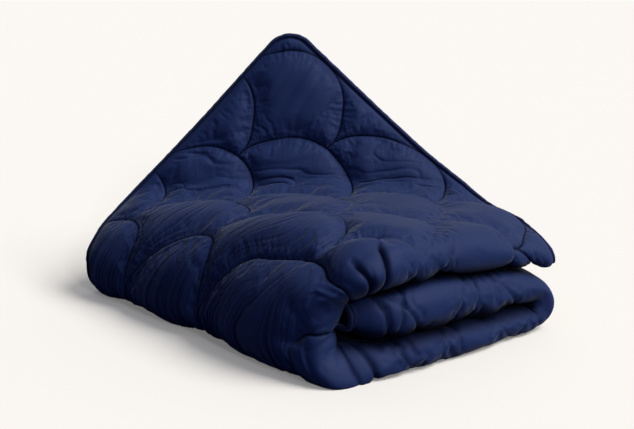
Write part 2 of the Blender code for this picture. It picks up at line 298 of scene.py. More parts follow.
# how much of its height the stack keeps, from the half fold to the open edges
settled = [
    {"at": 0.00, "bigFold": 1.00, "middle": 1.04, "freeEnd": 0.66},
    {"at": 0.07, "bigFold": 1.03, "middle": 1.05, "freeEnd": 0.80},
    {"at": 0.15, "bigFold": 1.05, "middle": 1.05, "freeEnd": 0.90},
    {"at": 0.35, "bigFold": 1.02, "middle": 1.05, "freeEnd": 0.96},
    {"at": 0.65, "bigFold": 0.90, "middle": 0.97, "freeEnd": 0.92},
    {"at": 1.00, "bigFold": 0.755, "middle": 0.82, "freeEnd": 0.84},
]

# the turned-up corner: how much of each edge it takes, how far it turns, over what radius, how
# far it sways, sinks into the layer below at its hinge and stretches
flap = {
    "along": 0.61,
    "across": 0.71,
    "turn": math.radians(73),
    "bend": 0.070,
    "sway": 0.045,
    "sinkLeft": 0.008,
    "sinkRight": 0.026,
    "sinkOver": 0.22,
    "stretch": 0.016,
    "stretchOver": (0.25, 0.55),
    "partAlong": 0.75,
    "partAcross": 0.10,
}

# where the half fold is drawn in at the big fold, the stack's free corner, and the heel at the
# foot of the big fold
drawn = {
    "in": 0.085,
    "inX": (0.12, 0.33),
    "inHeight": (0.17, 0.28),
    "over": 0.36,
    "atFloor": 0.35,
    "floorHeight": 0.09,
    "corner": 0.016,
    "cornerX": (0.15, 0.37),
    "cornerDeep": 0.25,
    "cornerHeight": (0.12, 0.17),
    "heelOut": 0.012,
    "heelX": (0.27, 0.34),
    "heelLow": 0.03,
    "heelLowBack": 0.07,
    "heelBack": (0.20, 0.45),
    "heelTop": 0.17,
    "pressed": 0.014,
    "pressedX": (0.20, 0.32),
}

# grid lines of the flat quilt: where each zone ends, and its cells
alongZones = [
    {"end": 0.010, "cells": 3},
    {"end": 0.070, "cells": 20},
    {"end": 0.576, "cells": 160},
    {"end": 0.888, "cells": 104},
    {"end": 1.447, "cells": 120},
    {"end": 1.602, "cells": 26},
    {"end": 2.070, "cells": 124},
    {"end": 2.130, "cells": 10},
    {"end": 2.140, "cells": 3},
]
acrossZones = [
    {"end": 0.010, "cells": 3},
    {"end": 0.070, "cells": 20},
    {"end": 0.920, "cells": 360},
    {"end": 1.080, "cells": 56},
    {"end": 1.930, "cells": 100},
    {"end": 1.990, "cells": 10},
    {"end": 2.000, "cells": 3},
]


def gridLines(zones, start=0.0):
    lines = [start]
    for zone in zones:
        first = lines[-1]
        step = (zone["end"] - first) / zone["cells"]
        lines += [first + step * (i + 1) for i in range(zone["cells"])]
    return np.array(lines)


def smooth(value, low, high):
    share = np.clip((value - low) / (high - low), 0, 1)
    return share * share * (3 - 2 * share)


def window(value, rises, full, falls, gone):
    return smooth(value, rises, full) * (1 - smooth(value, falls, gone))


def softNoise(u, v, seed):
    # smooth noise from -1 to 1 over a lattice of seeded values
    table = np.random.RandomState(seed).uniform(-1, 1, (256, 256))
    iu, iv = np.floor(u).astype(int), np.floor(v).astype(int)
    fu, fv = u - iu, v - iv
    fu = fu * fu * fu * (fu * (fu * 6 - 15) + 10)
    fv = fv * fv * fv * (fv * (fv * 6 - 15) + 10)
    a, b = table[iu % 256, iv % 256], table[(iu + 1) % 256, iv % 256]
    c, d = table[iu % 256, (iv + 1) % 256], table[(iu + 1) % 256, (iv + 1) % 256]
    return (a * (1 - fu) + b * fu) * (1 - fv) + (c * (1 - fu) + d * fu) * fv


def roundCorner(along, across):
    # the flat quilt's corners are rounded by drawing the grid in towards each corner's centre
    radius = cloth["cornerRadius"]
    fromEnd = np.minimum(along, cloth["length"] - along)
    fromEdge = cloth["half"] - np.abs(across)
    p = np.clip(1 - fromEnd / radius, 0, None)
    q = np.clip(1 - fromEdge / radius, 0, None)
    inside = (p > 0) & (q > 0)
    pull = np.where(inside, np.maximum(p, q) / np.maximum(np.hypot(p, q), 1e-9), 1)
    shiftAlong = (p - p * pull) * radius
    shiftAcross = (q - q * pull) * radius
    along = along + np.where(along < cloth["length"] / 2, shiftAlong, -shiftAlong)
    return along, across - np.sign(across) * shiftAcross


def edgeDistance(along, across):
    return np.minimum(np.minimum(along, cloth["length"] - along), cloth["half"] - np.abs(across))


def patternPlace(along, across):
    # the row and column of a point of the flat quilt, after the pattern's own distortions
    row = along / pattern["pitch"] - pattern["firstRow"]
    column = (cloth["half"] - across) / pattern["pitch"] - pattern["firstColumn"]
    sheared = pattern["shear"] * smooth(row, *pattern["shearRows"])
    sheared = sheared * (1 - (1 - pattern["shearKeptAtNose"]) * smooth(column, *pattern["shearNose"]))
    later = row - smooth(column, *pattern["pullLater"])
    pulled = pattern["pull"] * window(column, *pattern["pullColumns"])
    pulled = pulled * (1 - smooth(later, *pattern["pullRows"]))
    # the scales on the big fold are drawn out, and tuck in early near the half fold
    drawnOut = smooth(row, *pattern["drawnRows"]) - 2 * smooth(row, *pattern["drawnBack"])
    row = row + pattern["drawn"] * drawnOut
    tucked = smooth(column, *pattern["tuckColumns"]) * smooth(row, *pattern["tuckRows"])
    row = row + pattern["tuck"] * tucked
    column = column + sheared - pulled
    # the last scale on the big fold reaches round the half fold, and its neighbour leans away
    around = smooth(column, *pattern["aroundColumns"]) * window(row, *pattern["aroundRows"])
    lean = window(column, *pattern["leanColumns"]) * window(row, *pattern["leanRows"])
    return row, column - pattern["around"] * around + pattern["lean"] * lean


def scaleRadius(dRow, dColumn):
    # a scale's outline is a half circle, and opens a little to meet its neighbours' feet
    tight = pattern["scaleRound"]
    turned = np.arctan2(np.abs(dColumn), -dRow)
    return tight + (math.hypot(1, 1 - tight) - tight) * smooth(turned, *pattern["footTurn"])


def nearestStitch(along, across):
    # off: distance to the nearest stitch line, second: to the next one,
    # run: how far round its half circle the nearest point lies
    row, column = patternPlace(along, across)
    best = np.full(row.shape, 9.0)
    second = np.full(row.shape, 9.0)
    run = np.zeros(row.shape)
    stepRow = np.zeros(row.shape)
    stepColumn = np.zeros(row.shape)
    for up in range(0, 3):
        for side in range(-1, 3):
            centreRow = np.floor(row) + up
            centreColumn = np.floor(column) + side
            dRow = row - centreRow
            dColumn = column - centreColumn
            far = np.maximum(np.hypot(dRow, dColumn), 1e-6)
            behind = dRow <= 1 - pattern["scaleRound"]
            behind &= (centreRow + centreColumn) % 2 == 0
            radius = scaleRadius(dRow, dColumn)
            off = np.where(behind, np.abs(far - radius), 9.0)
            nearer = off < best
            second = np.where(nearer, best, np.minimum(second, off))
            best = np.where(nearer, off, best)
            place = np.arctan2(dColumn, -dRow) + 7 * centreColumn + 3 * centreRow
            run = np.where(nearer, place, run)
            stepRow = np.where(nearer, dRow * (radius / far - 1), stepRow)
            stepColumn = np.where(nearer, dColumn * (radius / far - 1), stepColumn)
    size = pattern["pitch"]
    return {
        "off": best * size,
        "second": second * size,
        "run": run * size,
        "stepAlong": stepRow * size,
        "stepAcross": -stepColumn * size,
    }


# grid points close to a stitch line move on to it, wholly within this share of the reach, but
# not where the next line is only this many reaches away, or near the edge
snapping = {
    "whole": 0.35,
    "nextLine": (1.6, 2.6),
    "fromEdge": (0.02, 0.035),
}


def snapToStitch(along, across, reach):
    near = nearestStitch(along, across)
    pull = 1 - smooth(near["off"], snapping["whole"] * reach, reach)
    pull = pull * smooth(near["second"] / reach, *snapping["nextLine"])
    pull = pull * smooth(edgeDistance(along, across), *snapping["fromEdge"])
    return along + near["stepAlong"] * pull, across + near["stepAcross"] * pull


def alongRun(row, heading, gone):
    # how far a run leads after so much of its length, and the heading there
    turn = math.radians(row["turn"])
    if not turn:
        return gone * math.cos(heading), gone * math.sin(heading), heading
    radius = row["length"] / turn
    angle = heading + gone / radius
    ahead = radius * (np.sin(angle) - math.sin(heading))
    return ahead, radius * (math.cos(heading) - np.cos(angle)), angle


def runState(along):
    # centre line of the doubled quilt: place, heading and thickness
    x, z, heading, thick = np.zeros((4,) + along.shape)
    atX, atZ, atHeading, atThick, start = 0.0, 0.0, math.pi, stack["freeEndThick"], 0.0
    for row in foldRuns:
        # the first run also takes what comes before it, and the last what comes after
        here = (along >= start) | (row is foldRuns[0])
        here &= (along < start + row["length"]) | (row is foldRuns[-1])
        gone = along - start
        share = np.clip(gone / row["length"], 0, 1)
        dx, dz, angle = alongRun(row, atHeading, gone)
        x = np.where(here, atX + dx, x)
        z = np.where(here, atZ + dz, z)
        heading = np.where(here, angle, heading)
        thick = np.where(here, atThick + (row["thick"] - atThick) * share, thick)
        dx, dz, atHeading = alongRun(row, atHeading, row["length"])
        atX, atZ, atThick = atX + dx, atZ + dz, row["thick"]
        start += row["length"]
    return x, z, heading, thick


def plumpness(along, across):
    # the scales over the shoulder are fuller near the half fold
    onShoulder = window(along, *cloth["plumpAlong"]) * window(across, *cloth["plumpAcross"])
    return cloth["plump"] * onShoulder


def pulledFlat(along, across):
    beside = window(along, *flat["besideAlong"]) * window(across, *flat["besideAcross"])
    beside = beside * smooth(hingeDistance(along, across)[0], *flat["besideHinge"])
    lower = smooth(along, *flat["lowerAlong"]) * (1 - smooth(np.abs(across), *flat["lowerAcross"]))
    heel = window(along, *flat["heelAlong"]) * window(across, *flat["heelAcross"])
    return flat["beside"] * beside + flat["lower"] * lower + flat["heel"] * heel


def hingeDistance(along, across):
    # how far a point of the upper layer lies beyond the turned-up corner's hinge, and how far
    # along that hinge
    edgeLong = math.hypot(flap["along"], flap["across"])
    fromEdge = cloth["half"] - across
    toCorner = (along * flap["across"] + fromEdge * flap["along"]) / edgeLong
    aside = (along * flap["along"] - fromEdge * flap["across"]) / edgeLong
    return toCorner - flap["along"] * flap["across"] / edgeLong, aside


def halfThickness(along, across, thick, near, more=0):
    # half of one ply: puffed between the stitch lines, and thin at the edges
    fromEnd = np.minimum(along, cloth["length"] - along) - cloth["flange"]
    fromSide = cloth["half"] - np.abs(across) - cloth["flange"]
    edge = np.minimum(fromEnd, fromSide)
    radius = cloth["cornerRadius"] - cloth["flange"]
    cornerX, cornerY = radius - fromEnd, radius - fromSide
    inCorner = (cornerX > 0) & (cornerY > 0)
    edge = np.clip(np.where(inCorner, radius - np.hypot(cornerX, cornerY), edge), 0, None)
    full = thick / 4 - cloth["plyGap"] / 2 + more
    seam = cloth["seamThick"] / 2
    seam = seam + (full - seam) * pulledFlat(along, across)
    puff = np.clip(near["off"] / cloth["puffReach"], 0, 1)
    puff = np.sqrt(1 - (1 - puff) ** 2)
    # the free end is blunter where it meets the half fold
    blunt = 1 - smooth(np.abs(across), *cloth["bluntAcross"])
    blunt = blunt * (1 - smooth(along, *cloth["bluntAlong"]))
    rise = np.clip(edge / (cloth["puffReach"] * (1 - cloth["bluntTip"] * blunt)), 0, 1)
    rise = np.sqrt(1 - (1 - rise) ** 2)
    raised = seam + (full - seam) * puff
    return cloth["flangeThick"] / 2 + (raised - cloth["flangeThick"] / 2) * rise


def settle(x, y):
    # the share of its height that the stack keeps at a place, by a curve through three columns
    lines = [row["at"] for row in settled]
    at = np.clip(y / stack["deep"] + 0.5, 0, 1)
    ends = [np.interp(at, lines, [row[part] for row in settled])
            for part in ("bigFold", "middle", "freeEnd")]
    share = np.clip(x / stack["wide"] + 0.5, 0, 1)
    mid = stack["settleMiddle"]
    keep = ends[0] * (share - mid) * (share - 1) / mid
    keep = keep + ends[1] * share * (share - 1) / (mid * (mid - 1))
    return keep + ends[2] * share * (share - mid) / (1 - mid)


def topLevel():
    # the middle of the doubled top layer, above the floor: down the big fold to the heel
    shoulder, face, heel = foldRuns[1:4]
    curved = sum(row["length"] / math.radians(row["turn"]) for row in (shoulder, heel))
    return curved + face["length"] + heel["thick"] / 2


def onUpperPly(along, across):
    return (across > flap["partAcross"]) & (along < flap["partAlong"])


def turnUp(along, across, x, y, z, middle):
    # the corner beyond the hinge bends up round a cylinder and goes on straight
    edgeLong = math.hypot(flap["along"], flap["across"])
    toX, toY = flap["across"] / edgeLong, flap["along"] / edgeLong
    beyond = (x - (stack["wide"] / 2 - flap["along"])) * toX + (y - stack["deep"] / 2) * toY
    start = -flap["bend"] * math.tan(flap["turn"] / 2)
    gone = np.clip(beyond - start, 0, None)
    angle = np.minimum(gone / flap["bend"], flap["turn"])
    rest = np.clip(gone - flap["bend"] * flap["turn"], 0, None)
    over = z - middle
    aside = (x - y) / stack["wide"] / 2 + 0.5
    sink = flap["sinkLeft"] + (flap["sinkRight"] - flap["sinkLeft"]) * np.clip(aside, 0, 1)
    middle = middle - sink * smooth(gone, 0, flap["sinkOver"])
    middle = middle + flap["stretch"] * smooth(gone, *flap["stretchOver"])
    level = flap["bend"] * np.sin(angle) + rest * np.cos(angle) - over * np.sin(angle)
    rise = flap["bend"] * (1 - np.cos(angle)) + rest * np.sin(angle) + over * np.cos(angle)
    bent = onUpperPly(along, across) & (gone > 0)
    shift = level - gone
    sway = flap["sway"] * rise
    x = np.where(bent, x + shift * toX + sway * toY, x)
    y = np.where(bent, y + shift * toY - sway * toX, y)
    return x, y, np.where(bent, middle + rise, z)


def drawIn(x, y, z):
    fromNose = y + stack["deep"] / 2
    inner = smooth(-x, *drawn["inX"]) * (1 - smooth(z, *drawn["inHeight"]))
    low = drawn["atFloor"] + (1 - drawn["atFloor"]) * smooth(z, 0, drawn["floorHeight"])
    y = y + drawn["in"] * inner * low * (1 - smooth(fromNose, 0, drawn["over"]))
    corner = smooth(x, *drawn["cornerX"]) * (1 - smooth(fromNose, 0, drawn["cornerDeep"]))
    x = x - drawn["corner"] * corner * smooth(z, *drawn["cornerHeight"])
    heelFoot = drawn["heelLow"] + drawn["heelLowBack"] * smooth(y, *drawn["heelBack"])
    heel = smooth(-x, *drawn["heelX"]) * (1 - smooth(z, heelFoot, drawn["heelTop"]))
    x = x - drawn["heelOut"] * heel
    pressed = (1 - smooth(z, 0, drawn["floorHeight"])) * smooth(-x, *drawn["pressedX"])
    return x, y, z - drawn["pressed"] * pressed


def fold(along, across, out):
    # a point of the flat quilt, "out" from the middle of its ply, to its place in the stack
    x, z, heading, thick = runState(along)
    quarter = thick / 4 + cloth["plyGap"] / 4
    nose = quarter * math.pi / 2
    angle = np.clip(across / quarter, -math.pi / 2, math.pi / 2)
    straight = np.clip(np.abs(across) - nose, 0, None)
    y = -stack["deep"] / 2 + thick / 2 - (quarter + out) * np.cos(angle) + straight
    height = (quarter + out) * np.sin(angle)
    x = x + height * np.sin(heading) + stack["wide"] / 2
    z = z - height * np.cos(heading) + topLevel()
    keep = settle(x, y)
    middle = (z + out * np.sin(angle) * np.cos(heading)) * keep
    z = z * keep
    x, y, z = drawIn(x, y, z)
    x, y, z = turnUp(along, across, x, y, z, middle)
    return x + stack["shiftX"], y + stack["shiftY"], z


# the part of the outer face that lies flat on the floor: how far in from the half fold, in
# thicknesses, and from the open edge
resting = {
    "fromNose": 0.42,
    "fromEdge": 0.05,
    "past": 0.001,
}


def pressedFlat(along, across, thick):
    start = sum(row["length"] for row in foldRuns[:4]) - resting["past"]
    end = start + foldRuns[4]["length"] + 2 * resting["past"]
    inside = (across > thick * resting["fromNose"]) & (across < cloth["half"] - resting["fromEdge"])
    return inside & (along > start) & (along < end)


# folds in the cloth's face: gathers at the stitching, pleats on the big fold, creases along the
# turned-up corner's hinge and drapes above it
folds = {
    "puckerDeep": 0.0018,
    "puckerReach": 0.016,
    "puckerFrom": 0.004,
    "puckers": [
        {"wide": 0.011, "long": 0.05, "share": 1.0, "seed": 5},
        {"wide": 0.011 / 2.1, "long": 0.03, "share": 0.6, "seed": 6},
    ],
    "patchWide": 0.07,
    "patchLeast": 0.5,
    "patchMore": 0.8,
    "pleatDeep": 0.0068,
    "pleatSizes": [
        {"across": 11.0, "share": 1.0, "seed": 9},
        {"across": 11.0 * 1.83, "share": 0.5, "seed": 14},
    ],
    "pleatNarrow": 0.20,
    "pleatEdge": 1.4,
    "pleatDrift": 0.8 / 11,
    "pleatEven": 0.45,
    "pleatUneven": 1.1,
    "pleatTip": 0.30,
    "pleatDown": (-0.80, -0.10),
    "pleatFrom": 0.008,
    "pleatAlong": (0.40, 0.58, 0.88, 0.96),
    "pleatAcross": (-0.02, 0.20),
    "pleatFull": (0.60, 0.70),
    "pleatBefore": 0.4,
    "creaseDeep": 0.0055,
    "creaseWide": 0.036,
    "creaseLong": 0.150,
    "creaseSharp": 0.75,
    "creaseGain": 1.6,
    "creaseLevel": 0.5,
    "creaseHinge": (-0.21, -0.10, 0.0, 0.06),
    "creaseBends": [
        {"far": 0.022, "aside": 0.11, "beyond": 0.08, "seed": 15},
        {"far": 0.010, "aside": 0.05, "beyond": 0.05, "seed": 16},
    ],
    "drapeDeep": 0.0022,
    "drapeWide": 0.030,
    "drapeLong": 0.160,
    "drapeSlant": 0.5,
    "drapeHinge": (-0.24, -0.14),
    "calm": 0.02,
}


def scaleOf(along, across):
    # the scale that each point lies in: place within it, and a number of its own
    tight = pattern["scaleRound"]
    row, column = patternPlace(along, across)
    best = np.full(row.shape, -1e9)
    ownRow, ownColumn, number = np.zeros(row.shape), np.zeros(row.shape), np.zeros(row.shape)
    for up in range(-1, 3):
        for side in range(-1, 3):
            centreRow = np.floor(row) + up
            centreColumn = np.floor(column) + side
            dRow, dColumn = row - centreRow, column - centreColumn
            radius = scaleRadius(dRow, dColumn)
            inside = (dRow <= 1 - tight) & (np.hypot(dRow, dColumn) < radius)
            inside |= (dRow > 1 - tight) & (dRow < 1.3) & (np.abs(dColumn) < 1)
            inside &= (centreRow + centreColumn) % 2 == 0
            score = np.where(inside, centreRow * 10 - np.abs(dColumn), -1e9)
            better = score > best
            best = np.where(better, score, best)
            ownRow = np.where(better, dRow, ownRow)
            ownColumn = np.where(better, dColumn, ownColumn)
            number = np.where(better, 7 * centreRow + 13 * centreColumn, number)
    behind = np.sqrt(np.clip(tight ** 2 - ownRow ** 2, 0.01, None))
    front = 1 - np.sqrt(np.clip(tight ** 2 - (1 - ownRow) ** 2, 0, None))
    behind = np.maximum(behind, tight * smooth(ownRow, -0.3, 0.1))
    wide = np.where(ownRow < 1 - tight, behind, front)
    return ownRow, ownColumn / np.maximum(wide, 0.1), number


def pleats(along, across, near):
    # pleats that run down each scale on the big fold and gather at its foot, in two sizes
    down, aside, number = scaleOf(along, across)
    drift = folds["pleatDrift"] * softNoise(aside * 1.7 + number, down * 0.9, 8)
    depth = 0
    for row in folds["pleatSizes"]:
        phase = (aside + drift) * row["across"] + number * 3.7
        which = np.round(phase)
        groove = np.exp(-(np.abs(phase - which) / folds["pleatNarrow"]) ** folds["pleatEdge"])
        # each pleat has a depth of its own, which changes as it runs down
        own = softNoise(which * 7.31, down * 1.3 + which * 0.37 + number, row["seed"])
        own = np.clip(folds["pleatEven"] + folds["pleatUneven"] * own, 0, 1)
        depth = np.maximum(depth, row["share"] * groove * own)
    low = folds["pleatTip"] + (1 - folds["pleatTip"]) * smooth(down, *folds["pleatDown"])
    onFold = window(along, *folds["pleatAlong"]) * smooth(across, *folds["pleatAcross"])
    before = folds["pleatBefore"]
    onFold = onFold * (before + (1 - before) * smooth(along, *folds["pleatFull"]))
    return depth * low * onFold * smooth(near["off"], 0, folds["pleatFrom"])


# places where the stitching is drawn up tight and gathers the cloth more: a row for each
tufts = [
    {"along": 0.590, "across": 0.576, "wide": 0.030, "more": 2.2},
    {"along": 0.815, "across": 0.012, "wide": 0.050, "more": 3.0},
    {"along": 0.700, "across": 0.040, "wide": 0.040, "more": 1.5},
    {"along": 0.420, "across": 0.060, "wide": 0.040, "more": 1.5},
    {"along": 1.740, "across": 0.026, "wide": 0.035, "more": 2.0},
    {"along": 1.030, "across": -0.005, "wide": 0.050, "more": 1.5},
]


def gathers(along, across, near):
    # gathers square to the stitching, dying out within a few centimetres of it
    fade = np.exp(-near["off"] / folds["puckerReach"])
    fade = fade * smooth(near["off"], 0, folds["puckerFrom"])
    height = 0
    for row in folds["puckers"]:
        pucker = softNoise(near["run"] / row["wide"], near["off"] / row["long"], row["seed"])
        height = height + row["share"] * pucker
    patch = softNoise(along / folds["patchWide"], across / folds["patchWide"], 4)
    patchy = folds["patchLeast"] + folds["patchMore"] * np.abs(patch)
    for row in tufts:
        away = np.hypot(along - row["along"], across - row["across"]) / row["wide"]
        patchy = patchy + row["more"] * np.exp(-away ** 2)
    return folds["puckerDeep"] * fade * height * patchy


def hingeCreases(beyond, aside):
    # soft creases along the hinge, bent by noise so that none is straight
    bend = 0
    for row in folds["creaseBends"]:
        noise = softNoise(aside / row["aside"], beyond / row["beyond"], row["seed"])
        bend = bend + row["far"] * noise
    crease = softNoise((beyond + bend) / folds["creaseWide"],
                       (aside + 2 * bend) / folds["creaseLong"], 10)
    crease = np.abs(crease) ** folds["creaseSharp"] * folds["creaseGain"] - folds["creaseLevel"]
    return folds["creaseDeep"] * crease * window(beyond, *folds["creaseHinge"])


def drapes(beyond, aside):
    # long soft drapes, slanting down over the turned-up corner
    slant = folds["drapeSlant"]
    drape = softNoise((beyond + slant * aside) / folds["drapeLong"],
                      (aside - slant * beyond) / folds["drapeWide"], 13)
    return folds["drapeDeep"] * drape * (1 - smooth(beyond, *folds["drapeHinge"]))


def wrinkle(along, across, near):
    beyond, aside = hingeDistance(along, across)
    upper = onUpperPly(along, across) * smooth(near["off"], 0, folds["calm"])
    soft = hingeCreases(beyond, aside) + drapes(beyond, aside)
    return gathers(along, across, near) + upper * soft


# creases round the half fold, where the cloth is pushed together: a row for each
noseCreases = [
    {"along": 0.582, "slant": 0.024, "top": 0.064, "deep": 0.016, "wide": 0.006},
    {"along": 0.614, "slant": 0.030, "top": 0.030, "deep": 0.006, "wide": 0.006},
    {"along": 0.642, "slant": 0.004, "top": 0.064, "deep": 0.013, "wide": 0.006},
    {"along": 0.345, "slant": 0.060, "top": 0.028, "deep": 0.006, "wide": 0.008},
    {"along": 0.905, "slant": -0.020, "top": 0.030, "deep": 0.007, "wide": 0.006},
    {"along": 0.950, "slant": -0.020, "top": 0.085, "deep": 0.010, "wide": 0.007},
    {"along": 1.020, "slant": -0.010, "top": 0.015, "deep": 0.008, "wide": 0.006},
    {"along": 1.052, "slant": -0.012, "top": 0.012, "deep": 0.006, "wide": 0.005},
    {"along": 1.190, "slant": 0.000, "top": 0.020, "deep": 0.005, "wide": 0.006},
    {"along": 2.092, "slant": -0.017, "top": 0.055, "deep": 0.010, "wide": 0.006},
    {"along": 2.020, "slant": 0.020, "top": 0.050, "deep": 0.006, "wide": 0.007},
    {"along": 1.830, "slant": 0.030, "top": 0.010, "deep": 0.006, "wide": 0.007},
]


# every crease slants evenly round the half fold, narrows towards its top and fades at both ends
creaseShape = {
    "slantOver": 0.05,
    "slantEnd": 0.1,
    "narrow": 0.6,
    "narrowOver": 0.05,
    "topFade": 0.03,
    "lowFade": (-0.09, -0.05),
    "edge": 1.5,
}


def noseCrease(along, across):
    depth = np.zeros(along.shape)
    about = np.clip(across, -creaseShape["slantEnd"], creaseShape["slantEnd"])
    slant = 1 - about / creaseShape["slantOver"]
    for row in noseCreases:
        away = along - row["along"] - row["slant"] * slant
        wider = smooth(row["top"] - across, 0, creaseShape["narrowOver"])
        wide = row["wide"] * (creaseShape["narrow"] + (1 - creaseShape["narrow"]) * wider)
        reach = 1 - smooth(across, row["top"] - creaseShape["topFade"], row["top"])
        reach = reach * smooth(across, *creaseShape["lowFade"])
        depth = depth + row["deep"] * reach / (1 + (away / wide) ** 2) ** creaseShape["edge"]
    return depth


# the outer face is simulated as loose cloth held down along its stitching: it grows by a share
# of its length, and more along the hinge, and moves no further than the cap
loose = {
    "alongZones": [{"end": 0.950, "cells": 156}, {"end": 2.128, "cells": 110}],
    "acrossZones": [{"end": 1.100, "cells": 180}, {"end": 1.988, "cells": 36}],
    "margin": 0.012,
    "snap": 0.0055,
    "heldOff": (0.002, 0.006),
    "growth": 0.035,
    "growthAtHinge": 0.11,
    "slackHinge": (-0.24, -0.12, 0.02, 0.08),
    "slackAcross": (0.1, 0.2),
    "slackAlong": 0.72,
    "frames": 20,
    "cap": 0.009,
    "settings": {
        "quality": 4,
        "mass": 0.2,
        "tension_stiffness": 15,
        "compression_stiffness": 15,
        "shear_stiffness": 5,
        "bending_stiffness": 0.02,
        "air_damping": 5,
        "use_pressure": True,
        "uniform_pressure_force": 1.0,
    },
}


def addGrid(rows, columns):
    bpy.ops.object.select_all(action="DESELECT")
    bpy.ops.mesh.primitive_grid_add(x_subdivisions=rows, y_subdivisions=columns, size=2)
    return bpy.context.object


def vertexPlaces(item):
    place = np.zeros(len(item.data.vertices) * 3)
    item.data.vertices.foreach_get("co", place)
    return place.reshape(-1, 3)


def placeVertices(item, x, y, z):
    item.data.vertices.foreach_set("co", np.stack([x, y, z], 1).ravel())


def turnOutwards():
    bpy.ops.mesh.select_all(action="SELECT")
    bpy.ops.mesh.normals_make_consistent(inside=False)
    bpy.ops.object.mode_set(mode="OBJECT")


def gridNumbers(place, rows, columns):
    # the grid row and column of each vertex, from its place in the primitive
    row = np.rint((place[:, 0] + 1) / 2 * rows).astype(int)
    column = np.rint((place[:, 1] + 1) / 2 * columns).astype(int)
    return row, column


def addWeights(item, name, weights):
    group = item.vertex_groups.new(name=name)
    for level in range(1, 11):
        chosen = np.nonzero(np.ceil(weights * 10) == level)[0].tolist()
        group.add(chosen, level / 10, "REPLACE")


def addClothPhysics(sheet):
    bpy.ops.object.modifier_add(type="CLOTH")
    modifier = sheet.modifiers[-1]
    settings = modifier.settings
    for name, value in loose["settings"].items():
        setattr(settings, name, value)
    settings.effector_weights.gravity = 0
    settings.vertex_group_mass = "held"
    settings.shrink_min = -loose["growth"]
    settings.vertex_group_shrink = "slack"
    settings.shrink_max = -loose["growthAtHinge"]
    modifier.collision_settings.use_collision = False
    return modifier


def simulateOuterFace():
    alongLines = gridLines(loose["alongZones"], loose["margin"])
    acrossLines = gridLines(loose["acrossZones"], loose["margin"])
    rows, columns = len(alongLines) - 1, len(acrossLines) - 1
    sheet = addGrid(rows, columns)
    row, column = gridNumbers(vertexPlaces(sheet), rows, columns)
    along, across = alongLines[row], cloth["half"] - acrossLines[column]
    along, across = snapToStitch(along, across, loose["snap"])
    near = nearestStitch(along, across)
    thick = runState(along)[3]
    half = halfThickness(along, across, thick, near, plumpness(along, across))
    half = half + wrinkle(along, across, near) - noseCrease(along, across)
    placeVertices(sheet, *fold(along, across, half))
    before = vertexPlaces(sheet)
    rim = (row < 2) | (row > rows - 2) | (column < 2) | (column > columns - 2)
    held = 1 - smooth(near["off"], *loose["heldOff"])
    addWeights(sheet, "held", np.where(rim | pressedFlat(along, across, thick), 1, held))
    slack = window(hingeDistance(along, across)[0], *loose["slackHinge"])
    slack = slack * smooth(across, *loose["slackAcross"]) * (along < loose["slackAlong"])
    addWeights(sheet, "slack", slack)
    modifier = addClothPhysics(sheet)
    for number in range(1, loose["frames"] + 1):
        bpy.context.scene.frame_set(number)
    bpy.ops.object.modifier_apply(modifier=modifier.name)
    moved = vertexPlaces(sheet) - before
    far = np.linalg.norm(moved, axis=1)
    moved *= (loose["cap"] * np.tanh(far / loose["cap"]) / np.maximum(far, 1e-9))[:, None]
    table = np.zeros((len(alongLines), len(acrossLines), 3))
    table[row, column] = moved
    bpy.ops.object.delete()
    bpy.context.scene.frame_set(1)
    print("duvet: outer face simulated, moved", round(float(far.mean() * 1000), 2), "mm on average")
    return alongLines, acrossLines, table


def looseness(along, across, simulated):
    # how far the simulation moved the face at a place, between the points of its coarser grid
    alongLines, acrossLines, table = simulated
    u = np.interp(along, alongLines, np.arange(len(alongLines)))
    v = np.interp(cloth["half"] - across, acrossLines, np.arange(len(acrossLines)))
    i = np.minimum(u.astype(int), len(alongLines) - 2)
    j = np.minimum(v.astype(int), len(acrossLines) - 2)
    p, q = (u - i)[:, None], (v - j)[:, None]
    near = table[i, j] * (1 - q) + table[i, j + 1] * q
    far = table[i + 1, j] * (1 - q) + table[i + 1, j + 1] * q
    return near * (1 - p) + far * p


# the slots between the layers at the half fold, given painted shade: where the cloth turns in under
# its layer, and where the middle layer goes in below the top one
slots = {
    "under": (0.006, 0.026),
    "over": (0.030, 0.046),
    "middleFrom": 1.60,
    "end": (0.10, 0.16),
}


def paintedSlotShade(along, across):
    under = smooth(-across, *slots["under"])
    over = smooth(across, *slots["over"]) * (along > slots["middleFrom"])
    return np.maximum(under, over) * (1 - smooth(np.abs(across), *slots["end"]))


def addLayer(item, name, values):
    layer = item.data.attributes.new(name, "FLOAT", "POINT")
    layer.data.foreach_set("value", np.asarray(values, np.float32))


def addClothMap(item, along, across):
    corners = np.zeros(len(item.data.loops), int)
    item.data.loops.foreach_get("vertex_index", corners)
    layer = item.data.uv_layers.active or item.data.uv_layers.new(name="clothMap")
    layer.name = "clothMap"
    layer.data.foreach_set("uv", np.stack([along[corners], across[corners]], 1).ravel())


# the quilt's finished mesh
quilting = {
    "snap": 0.0036,
    "hemCalm": (0.012, 0.040),
    "seamCalm": (0.0, 0.004),
    "insideAcross": (0.045, 0.085),
    # how strong the painted shade is in the pleats, and how deep a nose crease must be to get it in
    # full
    "pleatShade": 0.75,
    "creaseShade": 0.012,
}


def addTwoFaces(rows, columns):
    # a grid and its copy one unit above, joined round the edge
    quilt = addGrid(rows, columns)
    quilt.name = "quiltCloth"
    bpy.ops.object.mode_set(mode="EDIT")
    bpy.ops.mesh.select_all(action="SELECT")
    bpy.ops.mesh.extrude_region_move(TRANSFORM_OT_translate={"value": (0, 0, 1)})
    turnOutwards()
    return quilt


